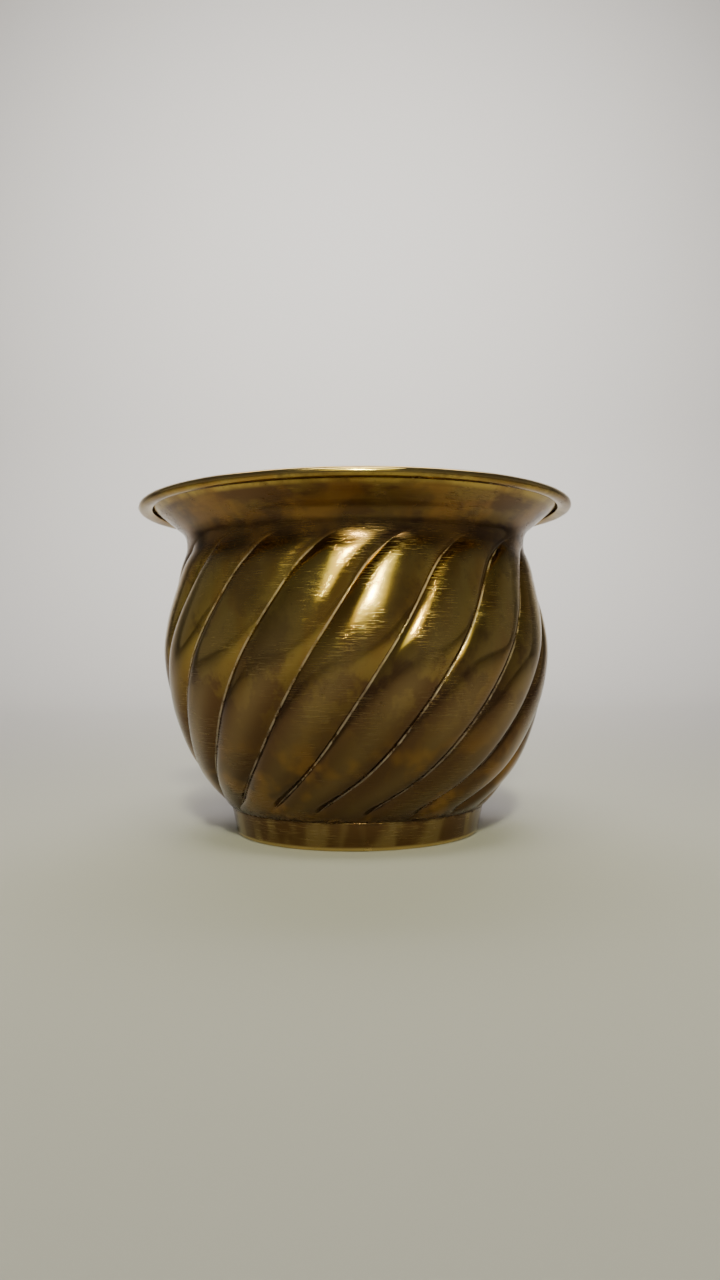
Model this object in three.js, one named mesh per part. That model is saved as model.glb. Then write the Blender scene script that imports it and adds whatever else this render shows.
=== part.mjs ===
// Swirl-fluted brass pot: one spun and fluted sheet bowl with a rolled rim,
// standing on a soldered foot ring.
// Millimetres, +Z up, origin at the centre of the flat face that the foot stands on.

import * as THREE from 'three';

// ---- Driving dimensions ----------------------------------------------------------------

const SHEET = 0.8; // thickness of the brass sheet
const FLOOR_RADIUS = 34; // flat part of the bowl's floor
const FLOOR_HEIGHT = 6.4; // middle of the floor's sheet

const FLUTES = 18; // lobes round the belly
const FLUTE_DEPTH = 2.2; // from a lobe's crest down to the crease beside it
const FLUTE_CREST_SHARE = 0.34; // share of that depth lost by the lobe's gentle crown
const FLUTE_FLANK_POWER = 4; // how suddenly the lobe falls into its crease
const FLUTE_START = [9.6, 15]; // heights over which the creases open above the foot
const FLUTE_END = [90, 99]; // heights over which they close below the neck

const SWIRL_MID = { height: 60, azimuth: -12.2, perMm: 0.53 }; // steady lean of the creases
const SWIRL_FOOT = { height: 9, azimuth: -24, decay: 10 }; // extra sweep towards the foot
const SWIRL_NECK = { height: 98, azimuth: 10, decay: 4 }; // extra sweep over the lobes' tops
const SWIRL_RANGE = [9, 99]; // the creases turn no further outside these heights

const FOOT_HEIGHT = 8.8; // top outer corner of the foot ring
const FOOT_TOP_RADIUS = 43.8;
const FOOT_BASE_RADIUS = 42.2;
const FOOT_WALL = 1.8;
const FOOT_CORNER = 1.0; // rounding of its lower outer corner
const GAP = 0.3; // clearance between neighbouring pieces

const STEPS_PER_FLUTE = 5;
const FOOT_STEPS = 72;
const COLUMNS = FLUTES * STEPS_PER_FLUTE;

// Middle line of the bowl's sheet, as [radius, height]: from the edge of the floor, up the
// belly to the neck and the flare, then over, out, down and back under in the rolled rim.
const KNEE = [[FLOOR_RADIUS, FLOOR_HEIGHT], [39.6, 7.3], [43.7, 9.6]];
const BELLY = [[49.1, 15.3], [55.6, 24.2], [60.9, 36.1], [64.5, 48], [66.2, 62], [65, 73], [62.6, 83]];
const NECK = [[60.5, 91], [58.6, 96.2], [58.6, 100.6], [59.7, 103.2], [62.6, 105.9]];
const FLARE = [[66.1, 108.8], [69.4, 111.4]];
const ROLL = [[71.2, 112.4], [72.9, 112.6], [74.2, 112], [74.6, 111], [73.9, 110.3], [72.4, 110.1], [70.7, 110.3]];

// ---- The fluting -----------------------------------------------------------------------

function ramp(range, height) {
  return THREE.MathUtils.smoothstep(height, range[0], range[1]);
}

// Azimuth, in degrees, of the crease that runs up the front of the bowl.
function creaseAzimuth(height) {
  const z = THREE.MathUtils.clamp(height, SWIRL_RANGE[0], SWIRL_RANGE[1]);
  const lean = SWIRL_MID.azimuth + SWIRL_MID.perMm * (z - SWIRL_MID.height);
  const foot = SWIRL_FOOT.azimuth * Math.exp((SWIRL_FOOT.height - z) / SWIRL_FOOT.decay);
  const neck = SWIRL_NECK.azimuth * Math.exp((z - SWIRL_NECK.height) / SWIRL_NECK.decay);
  return lean + foot + neck;
}

// How far the surface lies below the lobes' crests: across is -1 and 1 at the two creases
// of a lobe and 0 on its crest.
function fluteDrop(height, across) {
  const open = ramp(FLUTE_START, height) * (1 - ramp(FLUTE_END, height));
  const crown = FLUTE_CREST_SHARE * across ** 2;
  const flank = (1 - FLUTE_CREST_SHARE) * across ** FLUTE_FLANK_POWER;
  return FLUTE_DEPTH * open * (crown + flank);
}

// Columns crowd towards the creases, where the section bends most.
function acrossAt(step) {
  const even = 2 * (step / STEPS_PER_FLUTE) - 1;
  return even * (1.5 - 0.5 * even ** 2);
}

// ---- The bowl --------------------------------------------------------------------------

// The sheet's middle line as points with their outward normals.
function middleLine() {
  const through = [...KNEE, ...BELLY, ...NECK, ...FLARE, ...ROLL];
  const points = through.map(([radius, height]) => new THREE.Vector3(radius, height, 0));
  const curve = new THREE.CatmullRomCurve3(points, false, 'centripetal');
  const stations = [];
  const bandEnds = [
    [KNEE.length - 1, 2],
    [KNEE.length + BELLY.length - 1, 9],
    [KNEE.length + BELLY.length + NECK.length - 1, 7],
    [KNEE.length + BELLY.length + NECK.length + FLARE.length - 1, 2],
    [through.length - 1, 6],
  ];
  let start = 0;
  for (const [end, rows] of bandEnds) {
    for (let row = 0; row < rows; row += 1) {
      stations.push((start + ((end - start) * row) / rows) / (through.length - 1));
    }
    start = end;
  }
  stations.push(1);
  return stations.map((u) => {
    const at = curve.getPoint(u);
    const along = curve.getTangent(u);
    return { radius: at.x, height: at.y, normal: new THREE.Vector2(along.y, -along.x) };
  });
}

// One closed section from the axis, along the outside of the sheet to the rolled edge and
// back along its inside to the axis. Each row keeps the place on the middle line it is from.
function bowlSection() {
  const middle = middleLine();
  const side = (offset) => middle.map((station) => ({
    station,
    radius: station.radius + station.normal.x * offset,
    height: station.height + station.normal.y * offset,
  }));
  const level = { radius: 0, height: FLOOR_HEIGHT, normal: new THREE.Vector2(0, -1) };
  const underside = { station: level, radius: 0, height: FLOOR_HEIGHT - SHEET / 2 };
  const upside = { station: level, radius: 0, height: FLOOR_HEIGHT + SHEET / 2 };
  return [underside, ...side(SHEET / 2), ...side(-SHEET / 2).reverse(), upside];
}

function flutedBowl() {
  const section = bowlSection();
  const outline = section.map((row) => new THREE.Vector2(row.radius, row.height));
  const geometry = new THREE.LatheGeometry(outline, COLUMNS);
  geometry.rotateX(Math.PI / 2);
  const position = geometry.attributes.position;
  for (let index = 0; index < position.count; index += 1) {
    const column = Math.floor(index / section.length) % COLUMNS;
    const row = section[index % section.length];
    const flute = Math.floor(column / STEPS_PER_FLUTE);
    const across = acrossAt(column % STEPS_PER_FLUTE);
    const drop = fluteDrop(row.station.height, across);
    const radius = row.radius - row.station.normal.x * drop;
    const height = row.height - row.station.normal.y * drop;
    const degrees = creaseAzimuth(row.station.height) + ((flute + (across + 1) / 2) * 360) / FLUTES;
    const azimuth = THREE.MathUtils.degToRad(degrees);
    const onAxis = row.radius === 0;
    position.setXYZ(
      index,
      onAxis ? 0 : radius * Math.sin(azimuth),
      onAxis ? 0 : -radius * Math.cos(azimuth),
      height,
    );
  }
  return geometry;
}

// ---- The foot --------------------------------------------------------------------------

function ringFrom(outline) {
  const points = outline.map(([radius, height]) => new THREE.Vector2(radius, height));
  points.push(points[0].clone());
  const geometry = new THREE.LatheGeometry(points, FOOT_STEPS);
  geometry.rotateX(Math.PI / 2);
  return geometry;
}

// A plain band, a little narrower at the base, with a rounded lower corner. Its top is
// bevelled to the slope of the bowl's underside.
function footRing() {
  const bevel = FOOT_WALL * 0.78;
  const corner = [];
  for (let degrees = 0; degrees <= 90; degrees += 22.5) {
    const turn = THREE.MathUtils.degToRad(degrees);
    corner.push([
      FOOT_BASE_RADIUS - FOOT_CORNER * (1 - Math.sin(turn)),
      FOOT_CORNER * (1 - Math.cos(turn)),
    ]);
  }
  const outside = [FOOT_TOP_RADIUS, FOOT_HEIGHT];
  const inside = [FOOT_TOP_RADIUS - FOOT_WALL, FOOT_HEIGHT - bevel];
  const base = [FOOT_BASE_RADIUS - FOOT_WALL, 0];
  return ringFrom([...corner, outside, inside, base]);
}

// The fillet of solder in the corner between the foot's wall and the bowl's underside.
function solderFillet() {
  const wall = FOOT_TOP_RADIUS - FOOT_WALL - GAP;
  return ringFrom([
    [wall - 0.35, 4.6],
    [wall - 0.05, 7.05],
    [wall - 0.6, 7.0],
    [wall - 2.9, 6.25],
    [wall - 1.6, 5.9],
    [wall - 0.8, 5.4],
  ]);
}

// ---- Assembly --------------------------------------------------------------------------

const pot = new THREE.Group();

function add(name, geometry, color, roughness, metalness) {
  const material = new THREE.MeshStandardMaterial({ color, roughness, metalness });
  const mesh = new THREE.Mesh(geometry, material);
  mesh.name = name;
  pot.add(mesh);
}

add('fluted_bowl', flutedBowl(), 0x8a6a2c, 0.22, 1.0);
add('foot_ring', footRing(), 0x846428, 0.26, 1.0);
add('solder_fillet', solderFillet(), 0x8b8a84, 0.5, 1.0);

export default pot;
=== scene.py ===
import math
import random

import bpy
import numpy as np
from mathutils import Matrix, Vector, noise


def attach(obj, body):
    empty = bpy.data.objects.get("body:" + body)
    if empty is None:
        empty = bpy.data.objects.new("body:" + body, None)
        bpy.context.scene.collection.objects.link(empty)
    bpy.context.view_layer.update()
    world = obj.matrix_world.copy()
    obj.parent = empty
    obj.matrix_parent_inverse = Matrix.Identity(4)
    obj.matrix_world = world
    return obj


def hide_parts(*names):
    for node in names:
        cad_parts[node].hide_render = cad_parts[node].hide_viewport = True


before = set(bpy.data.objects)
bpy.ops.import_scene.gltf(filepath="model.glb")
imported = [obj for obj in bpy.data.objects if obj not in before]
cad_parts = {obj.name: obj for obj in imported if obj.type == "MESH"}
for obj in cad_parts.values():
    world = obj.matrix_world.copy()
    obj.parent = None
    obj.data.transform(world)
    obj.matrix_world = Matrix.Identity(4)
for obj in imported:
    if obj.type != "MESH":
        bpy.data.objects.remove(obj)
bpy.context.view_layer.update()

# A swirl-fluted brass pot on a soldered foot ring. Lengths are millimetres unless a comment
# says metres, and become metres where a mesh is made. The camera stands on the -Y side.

MM = 0.001

# ---- Sizes -------------------------------------------------------------------------------

SHEET = 0.8               # thickness of the brass sheet
FLOOR_RADIUS = 34.0       # flat part of the bowl's floor
FLOOR_HEIGHT = 6.4        # middle of the floor's sheet

FLUTES = 18
FLUTE_DEPTH = 2.2
FLUTE_CREST_SHARE = 0.34  # share of the depth lost by a lobe's gentle crown
FLUTE_FLANK_POWER = 4     # how suddenly a lobe falls into its crease
FLUTE_START = (9.6, 15.0)   # heights over which the creases open above the foot
FLUTE_END = (90.0, 99.0)    # heights over which they close below the neck
FLUTE_SCATTER = 0.5       # degrees that a crease may wander from its even place
DEPTH_SCATTER = 0.08      # share that a flute's depth may differ

SWIRL_MID = (60.0, -12.2, 0.53)     # height, azimuth there, degrees per mm
SWIRL_FOOT = (9.0, -24.0, 10.0)     # height, extra azimuth, decay length
SWIRL_NECK = (98.0, 10.0, 4.0)
SWIRL_RANGE = (9.0, 99.0)

# Middle line of the sheet as (radius, height), from the edge of the floor to the rolled edge.
KNEE = [(FLOOR_RADIUS, FLOOR_HEIGHT), (39.6, 7.3), (43.7, 9.6)]
BELLY = [
    (49.1, 15.3), (55.6, 24.2), (60.9, 36.1), (64.5, 48.0), (66.2, 62.0), (65.0, 73.0),
    (62.6, 83.0),
]
NECK = [(60.5, 91.0), (58.6, 96.2), (58.6, 100.6), (59.7, 103.2), (62.6, 105.9)]
FLARE = [(66.1, 108.8), (69.4, 111.4)]
# The roll's free edge comes a little closer to the flare than in the CAD model.
ROLL = [
    (71.2, 112.4), (72.9, 112.6), (74.2, 112.0), (74.6, 111.0), (73.9, 110.3), (72.4, 110.15),
    (70.7, 110.65),
]

FOOT_HEIGHT = 9.0
FOOT_TOP_RADIUS = 43.8
FOOT_BASE_RADIUS = 42.2
FOOT_WALL = 1.8
FOOT_CORNER = 1.1

STEPS_PER_FLUTE = 20
OUTER_ROWS = 140          # stations along the sheet's outer side
INNER_ROWS = 104
OUTER_RIM_FINENESS = 1.4  # how much closer the stations lie in the flare and the roll
INNER_RIM_FINENESS = 4.0  # the roll turns the sheet's inner side to the light
EDGE_STEPS = 3
FOOT_COLUMNS = 288

DENT_DEPTH, DENT_SIZE = 0.05, 17.0    # shallow unevenness left by hand work
WAVE_DEPTH, WAVE_SIZE = 0.004, 4.5

SPLINE_STEPS = 60         # samples of the middle line between two of its points
FLOOR_STEPS = 40          # and across the floor
FLOOR_FINENESS = 0.25     # the flat floor needs few stations

# ---- Shape of the fluted sheet -----------------------------------------------------------


def smooth_ramp(low, high, value):
    share = np.clip((value - low) / (high - low), 0.0, 1.0)
    return share * share * (3.0 - 2.0 * share)


def crease_azimuth(height):
    z = np.clip(height, *SWIRL_RANGE)
    lean = SWIRL_MID[1] + SWIRL_MID[2] * (z - SWIRL_MID[0])
    foot = SWIRL_FOOT[1] * np.exp((SWIRL_FOOT[0] - z) / SWIRL_FOOT[2])
    neck = SWIRL_NECK[1] * np.exp((z - SWIRL_NECK[0]) / SWIRL_NECK[2])
    return lean + foot + neck


def flutes_open(height):
    return smooth_ramp(*FLUTE_START, height) * (1.0 - smooth_ramp(*FLUTE_END, height))


def spline_segment(p0, p1, p2, p3, count):
    """Centripetal Catmull-Rom points from p1 up to, not including, p2."""
    gaps = [max(math.dist(a, b) ** 0.5, 1e-6) for a, b in ((p0, p1), (p1, p2), (p2, p3))]
    p0, p1, p2, p3 = (np.array(p) for p in (p0, p1, p2, p3))
    start = (p1 - p0) / gaps[0] - (p2 - p0) / (gaps[0] + gaps[1]) + (p2 - p1) / gaps[1]
    end = (p2 - p1) / gaps[1] - (p3 - p1) / (gaps[1] + gaps[2]) + (p3 - p2) / gaps[2]
    start, end = start * gaps[1], end * gaps[1]
    t = np.linspace(0.0, 1.0, count, endpoint=False)[:, None]
    bend = -3.0 * p1 + 3.0 * p2 - 2.0 * start - end
    twist = 2.0 * p1 - 2.0 * p2 + start + end
    return p1 + start * t + bend * t**2 + twist * t**3


def dense_middle():
    """The middle line, finely sampled, with a level run across the floor before it."""
    points = [np.array(p) for p in (*KNEE, *BELLY, *NECK, *FLARE, *ROLL)]
    ends = [2 * points[0] - points[1], *points, 2 * points[-1] - points[-2]]
    runs = [spline_segment(*ends[i:i + 4], SPLINE_STEPS) for i in range(len(points) - 1)]
    line = np.vstack([*runs, points[-1][None]])
    across = np.linspace(1.0, FLOOR_RADIUS, FLOOR_STEPS, endpoint=False)
    floor = np.stack([across, np.full(FLOOR_STEPS, FLOOR_HEIGHT)], -1)
    return np.vstack([floor, line])


def stations(rows, rim_fineness):
    """Places along the middle line with their outward normals, closer together in the rim."""
    line = dense_middle()
    step = np.diff(line, axis=0)
    length = np.hypot(step[:, 0], step[:, 1])
    middle = (line[1:] + line[:-1]) / 2
    fine = 1.0 + (rim_fineness - 1.0) * smooth_ramp(94.0, 108.0, middle[:, 1])
    fine = np.where(middle[:, 0] < FLOOR_RADIUS - 2.0, FLOOR_FINENESS, fine)
    travel = np.concatenate([[0.0], np.cumsum(length * fine)])
    wanted = np.linspace(0.0, travel[-1], rows)
    place = np.stack([np.interp(wanted, travel, line[:, axis]) for axis in (0, 1)], -1)
    along = np.gradient(line, axis=0)
    along /= np.linalg.norm(along, axis=1)[:, None]
    heading = np.stack([np.interp(wanted, travel, along[:, axis]) for axis in (0, 1)], -1)
    heading /= np.linalg.norm(heading, axis=1)[:, None]
    normal = np.stack([heading[:, 1], -heading[:, 0]], -1)
    return place, normal


def sheet_section():
    """Rows round the sheet: outer side upwards, the free edge, inner side back down.

    Gives each row's point, its height on the middle line, the way out of the pot there, and
    whether it is on the inner side."""
    outer, outer_normal = stations(OUTER_ROWS, OUTER_RIM_FINENESS)
    inner, inner_normal = stations(INNER_ROWS, INNER_RIM_FINENESS)
    tip, tip_normal = outer[-1], outer_normal[-1]
    tip_heading = np.array([-tip_normal[1], tip_normal[0]])
    turns = np.linspace(0.0, math.pi, EDGE_STEPS + 2)[1:-1]
    edge = [tip_normal * math.cos(a) + tip_heading * math.sin(a) for a in turns]
    section = [outer + outer_normal * SHEET / 2]
    section.append(np.array([tip + way * SHEET / 2 for way in edge]))
    section.append((inner - inner_normal * SHEET / 2)[::-1])
    height = np.concatenate([outer[:, 1], np.full(EDGE_STEPS, tip[1]), inner[::-1, 1]])
    out = np.vstack([outer_normal, edge, inner_normal[::-1]])
    inside = np.arange(len(height)) >= OUTER_ROWS + EDGE_STEPS
    return np.vstack(section), height, out, inside


def lobe_columns():
    """Each column's place across its lobe (-1 to 1), azimuth without swirl, and depth share."""
    dice = random.Random(18)
    shift = np.array([dice.uniform(-FLUTE_SCATTER, FLUTE_SCATTER) for _ in range(FLUTES)])
    depth = np.array([1.0 + dice.uniform(-DEPTH_SCATTER, DEPTH_SCATTER) for _ in range(FLUTES)])
    column = np.arange(FLUTES * STEPS_PER_FLUTE)
    flute = column // STEPS_PER_FLUTE
    even = 2.0 * (column % STEPS_PER_FLUTE) / STEPS_PER_FLUTE - 1.0
    across = even * (1.5 - 0.5 * even**2)
    share = (across + 1.0) / 2.0
    after = (flute + 1) % FLUTES
    wander = shift[flute] * (1.0 - share) + shift[after] * share
    azimuth = (flute + share) * 360.0 / FLUTES + wander
    return across, azimuth, depth[flute] * (1.0 - share) + depth[after] * share


def grid_faces(rows, columns):
    faces = []
    for row in range(rows - 1):
        for column in range(columns):
            beside = (column + 1) % columns
            faces.append((
                row * columns + column, row * columns + beside,
                (row + 1) * columns + beside, (row + 1) * columns + column,
            ))
    return faces


def new_object(name, points, faces, material):
    mesh = bpy.data.meshes.new(name)
    mesh.from_pydata([tuple(p * MM) for p in points], [], faces)
    mesh.validate()
    mesh.shade_smooth()
    mesh.materials.append(material)
    piece = bpy.data.objects.new(name, mesh)
    bpy.context.scene.collection.objects.link(piece)
    return piece


def add_attribute(piece, name, values):
    layer = piece.data.attributes.new(name, "FLOAT", "POINT")
    layer.data.foreach_set("value", np.asarray(values, dtype=np.float32))


def unevenness(points):
    """How far each point stands proud of the true shape."""
    lift = np.empty(len(points))
    for index, (x, y, z) in enumerate(points):
        dent = noise.noise(Vector((x, y, z)) / DENT_SIZE)
        wave = noise.noise(Vector((y, z, x)) / WAVE_SIZE)
        lift[index] = DENT_DEPTH * dent + WAVE_DEPTH * wave
    return lift


def make_bowl(material):
    section, at, out, inside = sheet_section()
    across, base, depth = lobe_columns()
    rows, columns = len(section), len(across)

    crown = FLUTE_CREST_SHARE * across**2
    flank = (1.0 - FLUTE_CREST_SHARE) * np.abs(across) ** FLUTE_FLANK_POWER
    drop = FLUTE_DEPTH * flutes_open(at)[:, None] * (depth * (crown + flank))[None, :]
    radius = section[:, :1] - out[:, :1] * drop
    height = section[:, 1:] - out[:, 1:] * drop
    azimuth = np.radians(crease_azimuth(at)[:, None] + base[None, :])
    points = np.stack([radius * np.sin(azimuth), -radius * np.cos(azimuth), height], -1)

    lift = unevenness(points.reshape(-1, 3)).reshape(rows, columns)
    lift *= (smooth_ramp(9.5, 14.0, at) * (1.0 - 0.6 * smooth_ramp(106.0, 110.0, at)))[:, None]
    points[..., 0] += lift * out[:, :1] * np.sin(azimuth)
    points[..., 1] -= lift * out[:, :1] * np.cos(azimuth)
    points[..., 2] += lift * out[:, 1:]

    corners = [*points.reshape(-1, 3)]
    corners.append(np.array([0.0, 0.0, FLOOR_HEIGHT - SHEET / 2]))
    corners.append(np.array([0.0, 0.0, FLOOR_HEIGHT + SHEET / 2]))
    under, upper, last_row = len(corners) - 2, len(corners) - 1, (rows - 1) * columns
    faces = grid_faces(rows, columns)
    for column in range(columns):
        beside = (column + 1) % columns
        faces.append((under, beside, column))
        faces.append((upper, last_row + column, last_row + beside))
    piece = new_object("bowl_sheet", corners, faces, material)

    opened = flutes_open(at)[:, None]
    crease = smooth_ramp(0.92, 0.985, np.abs(across))[None, :] * opened
    crest = (1.0 - smooth_ramp(0.0, 0.8, np.abs(across)))[None, :] * opened
    within = np.where(inside, 1.0 - smooth_ramp(103.0, 109.0, at), 0.0)
    within = np.repeat(within[:, None], columns, axis=1)
    add_attribute(piece, "crease", [*crease.ravel(), 0.0, 0.0])
    add_attribute(piece, "crest", [*crest.ravel(), 0.0, 0.0])
    add_attribute(piece, "inside", [*within.ravel(), 0.0, 1.0])
    return piece


# ---- The foot ----------------------------------------------------------------------------


def arc(centre, radius, start, end, steps):
    turns = np.radians(np.linspace(start, end, steps))
    return [(centre[0] + radius * math.cos(a), centre[1] + radius * math.sin(a)) for a in turns]


def lathe_ring(name, outline, columns, material, rough):
    """A closed ring; rough(point) lifts each point away from the outline's middle."""
    outline = np.array(outline)
    middle = outline.mean(axis=0)
    points = []
    for radius, height in outline:
        away = np.array([radius, height]) - middle
        away /= np.linalg.norm(away)
        for column in range(columns):
            a = 2 * math.pi * column / columns
            here = Vector((radius * math.sin(a), -radius * math.cos(a), height))
            lift = rough(here)
            r, z = radius + away[0] * lift, height + away[1] * lift
            points.append(np.array([r * math.sin(a), -r * math.cos(a), z]))
    total = len(points)
    open_faces = grid_faces(len(outline) + 1, columns)
    faces = [tuple(corner % total for corner in face) for face in open_faces]
    return new_object(name, points, faces, material)


def make_foot(material):
    slope = (FOOT_TOP_RADIUS - FOOT_BASE_RADIUS) / (FOOT_HEIGHT - FOOT_CORNER)
    lean = math.degrees(math.atan(slope))
    corner = arc((FOOT_BASE_RADIUS - FOOT_CORNER, FOOT_CORNER), FOOT_CORNER, -90, -lean, 9)
    wall = [
        (FOOT_BASE_RADIUS + slope * (z - FOOT_CORNER), z)
        for z in np.linspace(FOOT_CORNER + 0.4, FOOT_HEIGHT - 0.3, 9)
    ]
    shoulder = arc((FOOT_TOP_RADIUS - 0.25, FOOT_HEIGHT - 0.05), 0.22, 0, 90, 4)
    inside_top = (FOOT_TOP_RADIUS - FOOT_WALL, FOOT_HEIGHT - 1.2)
    inside_low = (FOOT_BASE_RADIUS - FOOT_WALL + 0.1, 0.5)
    base = (FOOT_BASE_RADIUS - FOOT_WALL + 0.35, 0.0)
    outline = [*corner, *wall, *shoulder, inside_top, inside_low, base]

    def rough(at):
        if at.z < 0.3:
            return 0.0
        return 0.03 * noise.noise(at / 11.0) + 0.008 * noise.noise(at / 3.0)

    return lathe_ring("foot_band", outline, FOOT_COLUMNS, material, rough)


def make_solder(material):
    wall = FOOT_TOP_RADIUS - FOOT_WALL - 0.1
    outline = [
        (wall - 0.35, 4.5), (wall - 0.1, 5.8), (wall, 7.3), (wall - 0.8, 7.2), (wall - 2.0, 6.8),
        (wall - 3.2, 6.2), (wall - 2.3, 5.95), (wall - 1.5, 5.7), (wall - 0.9, 5.2),
    ]

    def rough(at):
        return 0.12 * noise.noise(at / 5.0) + 0.06 * noise.noise(at / 1.6)

    return lathe_ring("solder_bead", outline, FOOT_COLUMNS, material, rough)


# ---- Materials ---------------------------------------------------------------------------


class Nodes:
    """A short hand for wiring one material's nodes. Noise scales are given per millimetre."""

    def __init__(self, name):
        self.material = bpy.data.materials.new(name)
        self.material.use_nodes = True
        self.tree = self.material.node_tree
        self.tree.nodes.clear()
        self.shader = self.add("ShaderNodeBsdfPrincipled")
        end = self.add("ShaderNodeOutputMaterial")
        self.join(self.shader.outputs[0], end.inputs[0])
        self.place = self.add("ShaderNodeTexCoord").outputs["Object"]

    def add(self, kind, **values):
        node = self.tree.nodes.new(kind)
        for key, value in values.items():
            setattr(node, key, value)
        return node

    def join(self, output, socket):
        self.tree.links.new(output, socket)

    def feed(self, socket, value):
        if isinstance(value, bpy.types.NodeSocket):
            self.join(value, socket)
        else:
            socket.default_value = value

    def math(self, operation, first, second=0.0, third=0.0):
        node = self.add("ShaderNodeMath", operation=operation)
        for socket, value in zip(node.inputs, (first, second, third)):
            self.feed(socket, value)
        return node.outputs[0]

    def product(self, first, *others):
        for other in others:
            first = self.math("MULTIPLY", first, other)
        return first

    def noise(self, per_mm, detail=2.0, roughness=0.5, offset=(0.0,) * 3, turn=(0.0,) * 3):
        mapping = self.add("ShaderNodeMapping")
        self.join(self.place, mapping.inputs["Vector"])
        mapping.inputs["Scale"].default_value = [v / MM for v in per_mm]
        mapping.inputs["Rotation"].default_value = [math.radians(v) for v in turn]
        mapping.inputs["Location"].default_value = offset
        node = self.add("ShaderNodeTexNoise")
        self.join(mapping.outputs[0], node.inputs["Vector"])
        node.inputs["Scale"].default_value = 1.0
        node.inputs["Detail"].default_value = detail
        node.inputs["Roughness"].default_value = roughness
        return node.outputs["Fac"]

    def remap(self, value, low, high, to_low=0.0, to_high=1.0):
        node = self.add("ShaderNodeMapRange", interpolation_type="SMOOTHSTEP")
        self.feed(node.inputs["Value"], value)
        node.inputs["From Min"].default_value = low
        node.inputs["From Max"].default_value = high
        node.inputs["To Min"].default_value = to_low
        node.inputs["To Max"].default_value = to_high
        return node.outputs[0]

    def mix(self, factor, first, second):
        """Blends two colours, which are sockets 6 and 7 of the Mix node."""
        node = self.add("ShaderNodeMix", data_type="RGBA")
        self.feed(node.inputs[0], factor)
        self.feed(node.inputs[6], first)
        self.feed(node.inputs[7], second)
        return node.outputs[2]

    def attribute(self, name):
        return self.add("ShaderNodeAttribute", attribute_name=name).outputs["Fac"]

    def height(self):
        """Height above the floor, in millimetres."""
        split = self.add("ShaderNodeSeparateXYZ")
        self.join(self.place, split.inputs[0])
        return self.math("DIVIDE", split.outputs["Z"], MM)

    def bump(self, height, distance_mm, strength):
        node = self.add("ShaderNodeBump")
        node.inputs["Strength"].default_value = strength
        node.inputs["Distance"].default_value = distance_mm * MM
        self.join(height, node.inputs["Height"])
        self.join(node.outputs[0], self.shader.inputs["Normal"])

    def hairlines(self, length, width, rarity, offset, turn=(0.0,) * 3):
        """Short thin scratches, where a noise of flat flakes cuts the surface.

        Unturned flakes lie level, so their scratches run level round the pot."""
        field = self.noise((1.0 / length, 1.0 / length, 1.0 / width), 1.0, 0.4, offset, turn)
        return self.remap(field, rarity, rarity + 0.05)


CLEAN = (0.44, 0.305, 0.072, 1.0)
PALE_WEAR_AND_HIGHLIGHT = (0.62, 0.47, 0.19, 1.0)      # rubbed bright, and a painted highlight along the foot's bottom edge
BROWN_TARNISH_AND_SHADE = (0.130, 0.070, 0.030, 1.0)  # tarnish, and painted shade low down, on the foot and in the neck
AMBER_TARNISH_AND_REFLECTION = (0.36, 0.185, 0.040, 1.0)   # thinner tarnish, and painted reflection in the warm patches
POLISH_AND_HIGHLIGHT = (0.42, 0.34, 0.26, 1.0)   # dried polish, and a painted highlight along the creases
# Grime, and painted shade on the lower belly and under the flare.
GRIME_AND_SHADE = (0.055, 0.034, 0.018, 1.0)
RELIEF_MM, RELIEF_STRENGTH = 0.02, 0.35


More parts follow.
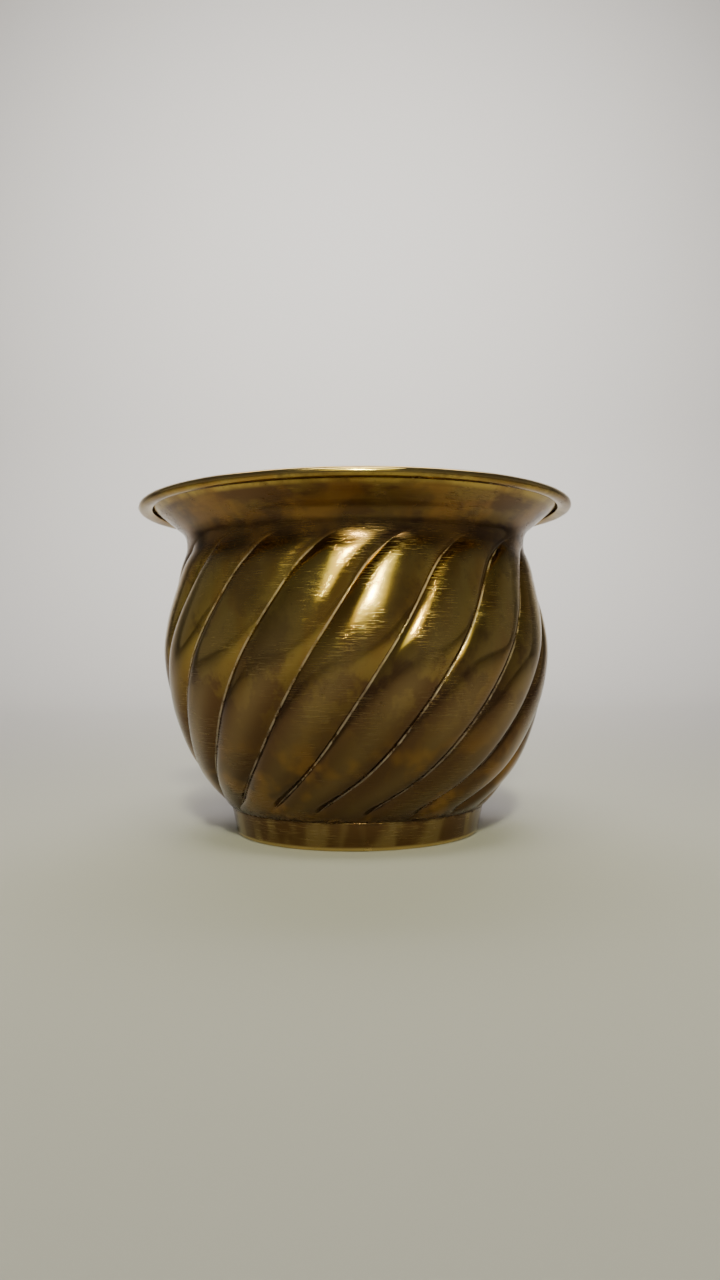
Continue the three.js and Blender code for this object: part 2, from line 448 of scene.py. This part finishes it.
def brass(name, fluted):
    """Polished brass; heights in it are millimetres above the floor. The fluted sheet has tarnish
    in clouds, painted shade low down and in the neck, amber patches of painted reflection, and
    dried polish in its creases that also paints a highlight along them; the foot is browned by
    painted shade, wiped in streaks, and worn paler below, which also paints a highlight along its
    bottom edge."""
    n = Nodes(name)
    z = n.height()

    # Tarnish, in clouds and blots, and painted shade that browns the brass towards the foot.
    cloud = n.remap(n.noise((0.045, 0.045, 0.035), 5.0, 0.65), 0.46, 0.58)
    blot = n.remap(n.noise((0.15, 0.15, 0.11), 4.0, 0.65, (3.0, 7.0, 1.0)), 0.55, 0.68)
    speck = n.remap(n.noise((1.1, 1.1, 1.1), 2.0, 0.5, (5.0, 2.0, 8.0)), 0.67, 0.74)
    amber = n.remap(n.noise((0.055, 0.055, 0.025), 3.0, 0.6, (5.0, 9.0, 4.0)), 0.46, 0.60, 0.0, 0.6)
    # Painted shade: the brass browns towards the foot, and the whole foot is browned.
    low = n.remap(z, 82.0, 38.0, 0.0, 0.92 if fluted else 1.0)
    colour = n.mix(amber, CLEAN, AMBER_TARNISH_AND_REFLECTION)
    colour = n.mix(n.math("MULTIPLY_ADD", cloud, 0.42, low), colour, BROWN_TARNISH_AND_SHADE)
    colour = n.mix(n.product(blot, 0.45), colour, BROWN_TARNISH_AND_SHADE)
    colour = n.mix(n.product(speck, 0.35), colour, GRIME_AND_SHADE)

    # Spinning lines, strongest in the neck and faint in the roll, and scratches in patches.
    spin = n.noise((0.05, 0.05, 2.6), 3.0, 0.6, (1.0, 2.0, 3.0))
    spin_zone = n.product(n.remap(z, 88.0, 98.0, 0.25, 0.7), n.remap(z, 110.5, 109.0, 0.1, 1.0))
    rubbed = n.remap(n.noise((0.05, 0.05, 0.05), 2.0, 0.5, (6.0, 6.0, 1.0)), 0.40, 0.58)
    rubbed = n.product(rubbed, n.remap(z, 110.5, 108.5, 0.25, 1.0))
    level = n.hairlines(5.0, 0.20, 0.62, (4.0, 1.0, 6.0))
    slant = n.hairlines(7.0, 0.18, 0.66, (2.0, 8.0, 3.0), (35.0, 12.0, 0.0))
    steep = n.hairlines(8.0, 0.18, 0.67, (7.0, 3.0, 9.0), (-60.0, 35.0, 0.0))
    scratches = n.math("MAXIMUM", level, n.math("MAXIMUM", slant, steep))
    scratches = n.product(scratches, rubbed)
    colour = n.mix(n.product(scratches, 0.15), colour, PALE_WEAR_AND_HIGHLIGHT)

    brushed = n.product(n.hairlines(3.5, 0.17, 0.52, (9.0, 2.0, 4.0)), rubbed)
    rough = n.math("MULTIPLY_ADD", cloud, 0.05, 0.105)
    rough = n.math("MULTIPLY_ADD", brushed, 0.08, rough)
    rough = n.math("MULTIPLY_ADD", blot, 0.09, rough)
    rough = n.math("MULTIPLY_ADD", n.product(spin, spin_zone), 0.14, rough)
    rough = n.math("MULTIPLY_ADD", scratches, 0.12, rough)

    relief = n.product(spin, spin_zone, 1.2)
    relief = n.math("MULTIPLY_ADD", scratches, -1.0, relief)
    pitting = n.noise((0.5, 0.5, 0.5), 3.0, 0.6, (1.0, 5.0, 5.0))
    relief = n.math("MULTIPLY_ADD", pitting, 0.35, relief)

    if fluted:
        # Crests rubbed pale, painted shade darkening the lower belly, and nicks along the low
        # creases.
        colour = n.mix(n.product(n.attribute("crest"), 0.18), colour, PALE_WEAR_AND_HIGHLIGHT)
        # Painted shade, darker towards the bottom of the belly.
        colour = n.mix(n.remap(z, 60.0, 24.0, 0.0, 0.55), colour, GRIME_AND_SHADE)
        nick_zone = n.product(n.remap(z, 60.0, 30.0), n.attribute("crease"))
        nicks = n.remap(n.noise((0.9, 0.9, 0.9), 1.0, 0.5, (2.0, 2.0, 6.0)), 0.66, 0.72)
        relief = n.math("MULTIPLY_ADD", n.product(nicks, nick_zone), -3.0, relief)

        # Painted shade darkens the neck in level bands, and more towards the flare's underside.
        #         Amber patches of painted reflection show there and low on the belly.
        neck = n.product(n.remap(z, 88.0, 97.0), n.remap(z, 110.2, 109.0))
        neck_shade_bands = n.noise((0.06, 0.06, 0.30), 3.0, 0.6, (8.0, 1.0, 2.0))
        colour = n.mix(n.product(neck, n.remap(neck_shade_bands, 0.42, 0.58, 0.65, 1.0)), colour, BROWN_TARNISH_AND_SHADE)
        colour = n.mix(n.product(neck, n.remap(z, 109.5, 103.0), 0.5), colour, GRIME_AND_SHADE)
        # Painted reflection: warm amber patches in the neck and low on the belly.
        reflection_patches = n.noise((0.05, 0.05, 0.05), 3.0, 0.6, (1.0, 6.0, 2.0))
        reflection_patch_zone = n.math("MAXIMUM", neck, n.remap(z, 44.0, 24.0))
        reflection_patches = n.product(n.remap(reflection_patches, 0.46, 0.62, 0.0, 0.42), reflection_patch_zone)
        colour = n.mix(reflection_patches, colour, AMBER_TARNISH_AND_REFLECTION)
        colour = n.mix(n.remap(z, 110.4, 112.0, 0.0, 0.5), colour, PALE_WEAR_AND_HIGHLIGHT)

        # Dried polish clings to the creases in patches, duller and less metallic; its pale colour
        # also paints a highlight along the creases.
        clinging = n.remap(n.noise((0.25, 0.25, 0.12), 3.0, 0.7), 0.30, 0.60)
        polish_and_highlight = n.product(n.remap(n.attribute("crease"), 0.3, 1.0), clinging, 0.68)
        colour = n.mix(polish_and_highlight, colour, POLISH_AND_HIGHLIGHT)
        rough = n.math("MULTIPLY_ADD", polish_and_highlight, 0.40, rough)
        n.join(n.math("MULTIPLY_ADD", polish_and_highlight, -0.9, 1.0), n.shader.inputs["Metallic"])

        inside = n.attribute("inside")
        colour = n.mix(n.product(inside, 0.6), colour, BROWN_TARNISH_AND_SHADE)
        rough = n.math("MULTIPLY_ADD", inside, 0.18, rough)
        seam = n.remap(z, 12.5, 9.3)
    else:
        n.shader.inputs["Metallic"].default_value = 1.0
        seam = n.remap(z, 7.9, 8.8)
        # The foot is wiped in streaks and paler along its bottom edge, which is wear and also a
        # painted highlight.
        wiped = n.remap(n.noise((0.09, 0.09, 0.01), 2.0, 0.5, (4.6, 4.0, 0.0)), 0.46, 0.58)
        wear_and_edge_highlight = n.math("MAXIMUM", n.remap(z, 1.7, 0.8), n.product(wiped, 0.30))
        colour = n.mix(n.product(wear_and_edge_highlight, 0.8), colour, PALE_WEAR_AND_HIGHLIGHT)
    grimy = n.product(seam, n.remap(n.noise((0.35, 0.35, 0.8), 4.0, 0.65), 0.35, 0.62))
    colour = n.mix(n.product(grimy, 0.7), colour, GRIME_AND_SHADE)
    rough = n.math("MULTIPLY_ADD", grimy, 0.2, rough)

    n.bump(relief, RELIEF_MM, RELIEF_STRENGTH)
    n.join(colour, n.shader.inputs["Base Color"])
    n.join(rough, n.shader.inputs["Roughness"])
    return n.material


SOLDER_BRIGHT = (0.36, 0.35, 0.32, 1.0)
SOLDER_DULL = (0.22, 0.20, 0.17, 1.0)


def solder(name):
    n = Nodes(name)
    patch = n.remap(n.noise((0.3, 0.3, 0.3), 4.0, 0.6), 0.35, 0.65)
    colour = n.mix(patch, SOLDER_BRIGHT, SOLDER_DULL)
    n.join(colour, n.shader.inputs["Base Color"])
    n.join(n.math("MULTIPLY_ADD", patch, 0.2, 0.38), n.shader.inputs["Roughness"])
    n.bump(n.noise((1.5, 1.5, 1.5), 3.0), 0.05, 0.5)
    n.shader.inputs["Metallic"].default_value = 1.0
    return n.material


def paint(name, colour):
    n = Nodes(name)
    n.shader.inputs["Base Color"].default_value = (*colour, 1.0)
    n.shader.inputs["Roughness"].default_value = 0.9
    return n.material


# ---- Studio, in metres -------------------------------------------------------------------


SWEEP_COLOUR = (0.52, 0.51, 0.49)


def make_sweep():
    """A pale floor that curves up into a wall behind the pot."""
    front, back, radius, top, half_width = -1.6, 0.75, 0.45, 2.0, 2.4
    steps = 24
    line = [(front, 0.0), (0.0, 0.0)]
    for step in range(steps + 1):
        turn = math.radians(90.0 * step / steps)
        line.append((back + radius * math.sin(turn), radius - radius * math.cos(turn)))
    line.append((back + radius, top))
    points, faces = [], []
    for y, z in line:
        points += [np.array([-half_width, y, z]) / MM, np.array([half_width, y, z]) / MM]
    for row in range(len(line) - 1):
        faces.append((2 * row, 2 * row + 1, 2 * row + 3, 2 * row + 2))
    sweep = new_object("sweep", points, faces, paint("sweep_paint", SWEEP_COLOUR))


def area_light(name, place, target, size, power, colour, spread):
    """Metres, watts, and the whole angle of the spread in degrees."""
    data = bpy.data.lights.new(name, "AREA")
    data.shape = "RECTANGLE"
    data.size, data.size_y = size
    data.energy = power
    data.color = colour
    data.spread = math.radians(spread)
    light = bpy.data.objects.new(name, data)
    light.location = place
    light.rotation_euler = (Vector(target) - Vector(place)).to_track_quat("-Z", "Y").to_euler()
    bpy.context.scene.collection.objects.link(light)


BELLY_CENTRE = (0.0, 0.0, 0.075)
LAMP_AZIMUTH, LAMP_ELEVATION, LAMP_DISTANCE = 2.0, 35.0, 1.1  # as seen from the belly


def make_lights():
    azimuth, elevation = math.radians(LAMP_AZIMUTH), math.radians(LAMP_ELEVATION)
    level = LAMP_DISTANCE * math.cos(elevation)
    rise = LAMP_DISTANCE * math.sin(elevation)
    lamp = (level * math.sin(azimuth), -level * math.cos(azimuth), BELLY_CENTRE[2] + rise)

    # The lamp makes the lobes' highlights, and its glow the soft gold round them.
    area_light("lamp", lamp, BELLY_CENTRE, (0.09, 0.09), 0.42, (0.99, 0.99, 0.68), 40)
    area_light("lamp_glow", lamp, BELLY_CENTRE, (0.62, 0.50), 0.23, (0.96, 0.98, 0.38), 40)
    # Along the rim, from above.
    above, rim = (0.0, -0.28, 1.0), (0.0, 0.0, 0.1)
    area_light("top_light", above, rim, (0.5, 0.22), 0.46, (1.0, 0.98, 0.76), 60)
    # The wall, the floor round the pot, and the floor behind the camera.
    high, wall = (0.0, -0.5, 1.5), (0.0, 1.2, 0.55)
    area_light("wall_light", high, wall, (1.0, 0.6), 18.5, (1.0, 0.965, 0.93), 70)
    behind, floor = (0.0, 0.5, 0.95), (0.0, 0.1, 0.0)
    area_light("back_light", behind, floor, (0.9, 0.4), 1.05, (1.0, 0.955, 0.99), 80)
    before, front = (0.0, -1.05, 1.1), (0.0, -1.05, 0.0)
    area_light("front_light", before, front, (2.0, 0.7), 1.6, (1.0, 0.965, 0.97), 60)


HORIZON_STRENGTH, OVERHEAD_STRENGTH = 0.27, 0.10
OVERHEAD_FROM = 0.65      # upward share of the direction from which it is as dim as overhead
WORLD_COLOUR = (1.0, 0.96, 0.91, 1.0)


def make_world():
    """Softly lit near the horizon and dimmer overhead."""
    world = bpy.data.worlds.new("studio")
    bpy.context.scene.world = world
    world.use_nodes = True
    tree = world.node_tree
    direction = tree.nodes.new("ShaderNodeTexCoord").outputs["Generated"]
    split = tree.nodes.new("ShaderNodeSeparateXYZ")
    tree.links.new(direction, split.inputs[0])
    ramp = tree.nodes.new("ShaderNodeMapRange")
    ramp.inputs["From Min"].default_value = 0.0
    ramp.inputs["From Max"].default_value = OVERHEAD_FROM
    ramp.inputs["To Min"].default_value = HORIZON_STRENGTH
    ramp.inputs["To Max"].default_value = OVERHEAD_STRENGTH
    tree.links.new(split.outputs["Z"], ramp.inputs["Value"])
    background = tree.nodes["Background"]
    background.inputs["Color"].default_value = WORLD_COLOUR
    tree.links.new(ramp.outputs[0], background.inputs["Strength"])


CAMERA_PLACE = (0.0, -0.3278, 0.0593)
CAMERA_PITCH = 1.2        # degrees above level
CAMERA_ROLL = -0.5
CAMERA_YAW = 0.2355       # degrees to the right
LENS, SENSOR = 26.0, 36.0  # millimetres


def make_camera():
    data = bpy.data.cameras.new("camera")
    data.lens = LENS
    data.sensor_width = SENSOR
    data.clip_start = 0.01
    camera = bpy.data.objects.new("camera", data)
    yaw = Matrix.Rotation(math.radians(-CAMERA_YAW), 4, "Z")
    pitch = Matrix.Rotation(math.radians(90.0 + CAMERA_PITCH), 4, "X")
    roll = Matrix.Rotation(math.radians(CAMERA_ROLL), 4, "Z")
    camera.matrix_world = Matrix.Translation(CAMERA_PLACE) @ yaw @ pitch @ roll
    bpy.context.scene.collection.objects.link(camera)
    bpy.context.scene.camera = camera


# ---- Assembly ----------------------------------------------------------------------------

make_camera()
make_sweep()
make_lights()
make_world()

bowl = make_bowl(brass("bowl_brass", True))
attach(bowl, "root")
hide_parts("fluted_bowl")

foot = make_foot(brass("foot_brass", False))
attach(foot, "root")
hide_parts("foot_ring")

bead = make_solder(solder("solder"))
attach(bead, "root")
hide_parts("solder_fillet")
